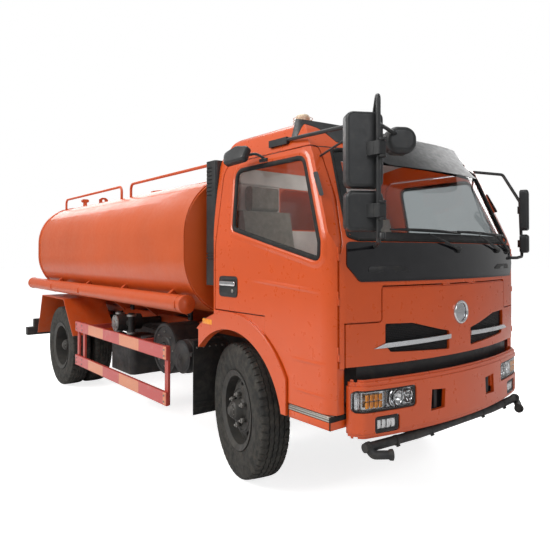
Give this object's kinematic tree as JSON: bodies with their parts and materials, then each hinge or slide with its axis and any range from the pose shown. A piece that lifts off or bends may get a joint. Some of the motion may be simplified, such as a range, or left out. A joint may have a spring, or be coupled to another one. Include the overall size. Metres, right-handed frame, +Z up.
{
  "type": "water tanker truck",
  "caption": "Forward-control water tanker truck with tilting cab, twin rear wheels, oval water tank, side hose tubes and side guards; doors, lids, steering and wheels move.",
  "frame": {"origin": "on the ground, at the middle of the truck's length and width", "axes": "-Y forward, +X to the truck's left, +Z up"},
  "size_m": [2.4958, 6.55, 2.6602],
  "materials": {
    "paint_orange": "gloss",
    "paint_tank": "gloss",
    "chassis_black": "satin",
    "axle_black": "satin",
    "spring_steel": "matt",
    "wheel_steel": "satin",
    "tyre": "matt",
    "engine_grey": "matt",
    "glass_clear": "gloss",
    "gloss_black": "gloss",
    "plastic_black": "matt",
    "grille_black": "matt",
    "lamp_clear": "gloss",
    "lamp_amber": "gloss",
    "seat_cloth": "matt",
    "dash_grey": "matt",
    "guard_paint": "gloss",
    "tank_black": "satin",
    "hose_tube_paint": "gloss",
    "step_alloy": "satin"
  },
  "bodies": {
    "chassis": {"frame": "chassis_black", "subframe": "paint_orange", "front_axle": "axle_black", "rear_axle": "axle_black", "leaf_springs": "spring_steel", "driveline": "engine_grey", "tank": "paint_tank", "tank_rails": "paint_orange", "hose_tubes": "hose_tube_paint", "rear_mudguards": "paint_orange", "side_guards": "guard_paint", "bumper": "paint_orange", "headlamps": "lamp_clear", "spray_bar": "plastic_black", "rear_beam": "chassis_black", "steps": "plastic_black", "air_units": "chassis_black", "water_pump": "tank_black", "fuel_tank": "tank_black"},
    "cab": {"cab_shell": "paint_orange", "cab_glass": "glass_clear", "cowl_panel": "gloss_black", "sun_visor": "plastic_black", "snorkel": "plastic_black", "mirrors": "plastic_black", "seats": "seat_cloth", "dashboard": "dash_grey", "beacon": "lamp_amber"},
    "front_lid": {"front_lid": "paint_orange", "grille": "grille_black"},
    "left_door": {"left_door": "paint_orange", "left_door_glass": "glass_clear"},
    "right_door": {"right_door": "paint_orange", "right_door_glass": "glass_clear"},
    "left_steer": {"left_knuckle": "axle_black"},
    "right_steer": {"right_knuckle": "axle_black"},
    "front_left_wheel": {"front_left_tyre": "tyre", "front_left_rim": "wheel_steel"},
    "front_right_wheel": {"front_right_tyre": "tyre", "front_right_rim": "wheel_steel"},
    "rear_left_wheels": {"rear_left_tyres": "tyre", "rear_left_rims": "wheel_steel"},
    "rear_right_wheels": {"rear_right_tyres": "tyre", "rear_right_rims": "wheel_steel"},
    "manhole_lid": {"manhole_lid": "paint_orange"}
  },
  "joints": [
    {"name": "steer_left", "type": "hinge", "parent": "chassis", "child": "left_steer", "pos_m": [0.69, -1.775, 0.487], "axis": [0, 0, 1], "range_deg": [-21, 47]},
    {"name": "steer_right", "type": "hinge", "parent": "chassis", "child": "right_steer", "pos_m": [-0.69, -1.775, 0.487], "axis": [0, 0, 1], "range_deg": [-21, 47]},
    {"name": "spin_front_left", "type": "hinge", "parent": "left_steer", "child": "front_left_wheel", "pos_m": [0.8459, -1.81099, 0.487], "axis": [0.9744, -0.225, 0], "continuous": true},
    {"name": "spin_front_right", "type": "hinge", "parent": "right_steer", "child": "front_right_wheel", "pos_m": [-0.8459, -1.73901, 0.487], "axis": [0.9744, -0.225, 0], "continuous": true},
    {"name": "spin_rear_left", "type": "hinge", "parent": "chassis", "child": "rear_left_wheels", "pos_m": [0.945, 2.025, 0.487], "axis": [1, 0, 0], "continuous": true},
    {"name": "spin_rear_right", "type": "hinge", "parent": "chassis", "child": "rear_right_wheels", "pos_m": [-0.945, 2.025, 0.487], "axis": [1, 0, 0], "continuous": true},
    {"name": "cab_tilt", "type": "hinge", "parent": "chassis", "child": "cab", "pos_m": [0, -2.875, 0.7], "axis": [1, 0, 0], "range_deg": [0, 45]},
    {"name": "left_door_hinge", "type": "hinge", "parent": "cab", "child": "left_door", "pos_m": [0.985, -2.809, 1.2], "axis": [0, 0, -1], "range_deg": [0, 60]},
    {"name": "right_door_hinge", "type": "hinge", "parent": "cab", "child": "right_door", "pos_m": [-0.985, -2.809, 1.2], "axis": [0, 0, 1], "range_deg": [0, 60]},
    {"name": "front_lid_hinge", "type": "hinge", "parent": "cab", "child": "front_lid", "pos_m": [0, -2.967, 1.436], "axis": [-1, 0, 0], "range_deg": [0, 60]},
    {"name": "manhole_hinge", "type": "hinge", "parent": "chassis", "child": "manhole_lid", "pos_m": [0, 1.395, 2.3903], "axis": [-1, 0, 0], "range_deg": [0, 110]}
  ],
  "couplings": [
    {"joint": "steer_right", "follows": "steer_left", "ratio": 1}
  ]
}
